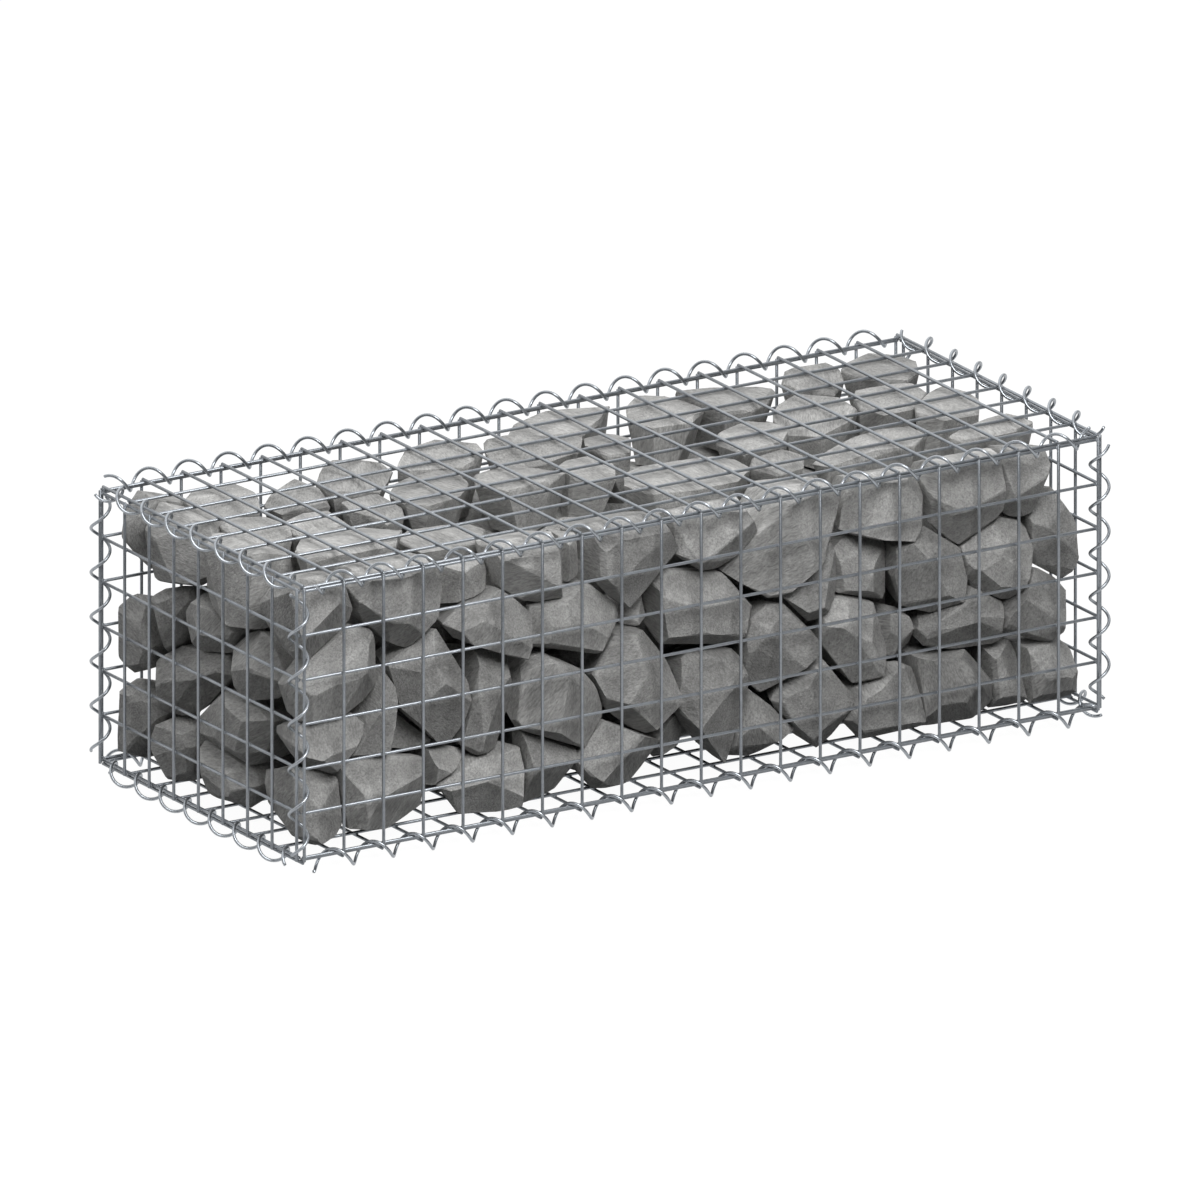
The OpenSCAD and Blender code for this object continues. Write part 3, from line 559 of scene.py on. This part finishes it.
def noise_node(nodes, links, place, pattern):
    node = nodes.new("ShaderNodeTexNoise")
    node.inputs["Scale"].default_value = pattern.scale
    node.inputs["Detail"].default_value = pattern.detail
    node.inputs["Roughness"].default_value = pattern.roughness
    links.new(place, node.inputs["Vector"])
    return node.outputs["Fac"]


def mapped(nodes, links, value, source, target):
    """Runs over the target range while the value runs over the source range."""
    node = nodes.new("ShaderNodeMapRange")
    names = ("From Min", "From Max", "To Min", "To Max")
    for name, number in zip(names, source + target):
        node.inputs[name].default_value = number
    links.new(value, node.inputs["Value"])
    return node.outputs["Result"]


def shaded(nodes, links, value, pattern):
    """A pattern's shade where its noise has the value."""
    return mapped(nodes, links, value, NOISE_RANGE, (pattern.dark, pattern.light))


def product(nodes, links, *values):
    total = values[0]
    for value in values[1:]:
        node = nodes.new("ShaderNodeMath")
        node.operation = "MULTIPLY"
        links.new(total, node.inputs[0])
        links.new(value, node.inputs[1])
        total = node.outputs[0]
    return total


def bumped(nodes, links, height, strength, distance, under=None):
    node = nodes.new("ShaderNodeBump")
    node.inputs["Strength"].default_value = strength
    node.inputs["Distance"].default_value = distance
    links.new(height, node.inputs["Height"])
    if under:
        links.new(under, node.inputs["Normal"])
    return node.outputs["Normal"]


def tinted(nodes, links, color, shade):
    """A colour scaled by a shade value."""
    node = nodes.new("ShaderNodeVectorMath")
    node.operation = "SCALE"
    node.inputs[0].default_value = color
    links.new(shade, node.inputs["Scale"])
    return node.outputs["Vector"]


def attribute_node(nodes, name):
    node = nodes.new("ShaderNodeAttribute")
    node.attribute_name = name
    return node


def stone_material():
    material, nodes, links, shader = new_material("grey_quarry_stone")
    place = attribute_node(nodes, "stone_grain").outputs["Vector"]
    tone = mapped(nodes, links, attribute_node(nodes, "stone_tone").outputs["Fac"], (-1, 1), STONE_TONES)
    # Worn edges painted lighter: a painted highlight along them
    edge = mapped(nodes, links, attribute_node(nodes, "stone_edge_highlight").outputs["Fac"], (0, 1), EDGE_HIGHLIGHT_TONES)
    clouds = noise_node(nodes, links, place, STONE_CLOUDS)
    grain = noise_node(nodes, links, place, STONE_GRAIN)
    specks = noise_node(nodes, links, place, STONE_SPECKS)
    shade = product(nodes, links,
                    shaded(nodes, links, clouds, STONE_CLOUDS),
                    shaded(nodes, links, grain, STONE_GRAIN),
                    shaded(nodes, links, specks, STONE_SPECKS),
                    tone, edge)
    links.new(tinted(nodes, links, STONE_COLOR, shade), shader.inputs["Base Color"])
    links.new(mapped(nodes, links, grain, NOISE_RANGE, STONE_ROUGHNESS), shader.inputs["Roughness"])
    coarse = bumped(nodes, links, grain, STONE_BUMP, GRAIN_RELIEF)
    links.new(bumped(nodes, links, specks, STONE_BUMP, SPECK_RELIEF, coarse), shader.inputs["Normal"])
    shader.inputs["Specular IOR Level"].default_value = STONE_SPECULAR
    return material


def zinc_material(name, zinc):
    """Hot-dipped zinc: a dull bluish grey with faint cloudy spangle."""
    material, nodes, links, shader = new_material(name)
    place = nodes.new("ShaderNodeTexCoord").outputs["Object"]
    clouds = noise_node(nodes, links, place, ZINC_CLOUDS)
    grain = noise_node(nodes, links, place, ZINC_GRAIN)
    shade = product(nodes, links,
                    shaded(nodes, links, clouds, ZINC_CLOUDS),
                    shaded(nodes, links, grain, ZINC_GRAIN))
    roughness = tuple(zinc.roughness + spread for spread in ROUGHNESS_SPREAD)
    links.new(tinted(nodes, links, zinc.color, shade), shader.inputs["Base Color"])
    links.new(mapped(nodes, links, grain, NOISE_RANGE, roughness), shader.inputs["Roughness"])
    links.new(bumped(nodes, links, grain, ZINC_BUMP, ZINC_RELIEF), shader.inputs["Normal"])
    shader.inputs["Metallic"].default_value = zinc.metallic
    return material


# Studio

def make_camera():
    right = Vector((math.cos(AZIMUTH), math.sin(AZIMUTH), 0))
    back = Vector((math.sin(AZIMUTH) * math.cos(ELEVATION), -math.cos(AZIMUTH) * math.cos(ELEVATION),
                   math.sin(ELEVATION)))
    up = back.cross(right)
    seen = Vector((0, 0, base_z + edge_inset))
    across = (FRAME_SIDE / 2 - LOWEST_WIRE_PIXEL[0]) / PIXELS_PER_METRE
    above = (LOWEST_WIRE_PIXEL[1] - FRAME_SIDE / 2) / PIXELS_PER_METRE
    data = bpy.data.cameras.new("camera")
    data.type = "ORTHO"
    data.ortho_scale = FRAME_SIDE / PIXELS_PER_METRE
    camera = bpy.data.objects.new("camera", data)
    bpy.context.scene.collection.objects.link(camera)
    camera.matrix_world = Matrix.Translation(seen + across * right + above * up + CAMERA_DISTANCE * back) @ (
        Matrix((right, up, back)).transposed().to_4x4())
    bpy.context.scene.camera = camera


def make_floor():
    material, nodes, links, shader = new_material("pale_floor")
    shader.inputs["Base Color"].default_value = (FLOOR_GREY, FLOOR_GREY, FLOOR_GREY, 1)
    shader.inputs["Roughness"].default_value = FLOOR_ROUGHNESS
    shader.inputs["Specular IOR Level"].default_value = 0
    path = nodes.new("ShaderNodeLightPath")
    seen = path.outputs["Is Camera Ray"]
    for kind in ("Is Glossy Ray", "Is Transmission Ray"):
        node = nodes.new("ShaderNodeMath")
        node.operation = "MAXIMUM"
        links.new(seen, node.inputs[0])
        links.new(path.outputs[kind], node.inputs[1])
        seen = node.outputs[0]
    shader.inputs["Emission Color"].default_value = WHITE
    links.new(mapped(nodes, links, seen, (0, 1), (0, FLOOR_WHITE)), shader.inputs["Emission Strength"])
    half, low = FLOOR_HALF, cad_box[0].z
    corners = [(-half, -half, low), (half, -half, low), (half, half, low), (-half, half, low)]
    floor = mesh_object("floor", corners, [[0, 1, 2, 3]], material)


def make_key_light():
    data = bpy.data.lights.new("key", "AREA")
    data.size = KEY_SIZE
    data.energy = KEY_POWER
    light = bpy.data.objects.new("key", data)
    bpy.context.scene.collection.objects.link(light)
    direction = KEY_DIRECTION.normalized()
    light.location = Vector((0, 0, (base_z + lid_z) / 2)) + KEY_DISTANCE * direction
    light.rotation_euler = direction.to_track_quat("Z", "Y").to_euler()


def make_world():
    world = bpy.data.worlds.new("studio")
    world.use_nodes = True
    bpy.context.scene.world = world
    nodes, links = world.node_tree.nodes, world.node_tree.links
    lean = nodes.new("ShaderNodeVectorMath")
    lean.operation = "DOT_PRODUCT"
    lean.inputs[1].default_value = SKY_LEAN
    links.new(nodes.new("ShaderNodeTexCoord").outputs["Generated"], lean.inputs[0])
    links.new(mapped(nodes, links, lean.outputs["Value"], (0, SKY_RISE), SKY_STRENGTHS),
              nodes["Background"].inputs["Strength"])
    nodes["Background"].inputs["Color"].default_value = WHITE


bpy.context.scene.view_settings.view_transform = "Standard"
make_camera()
make_floor()
make_world()
make_key_light()
make_panels(zinc_material("zinc_mesh_wire", MESH_ZINC))
make_spirals(zinc_material("zinc_spiral_wire", SPIRAL_ZINC))
make_stones(stone_material())
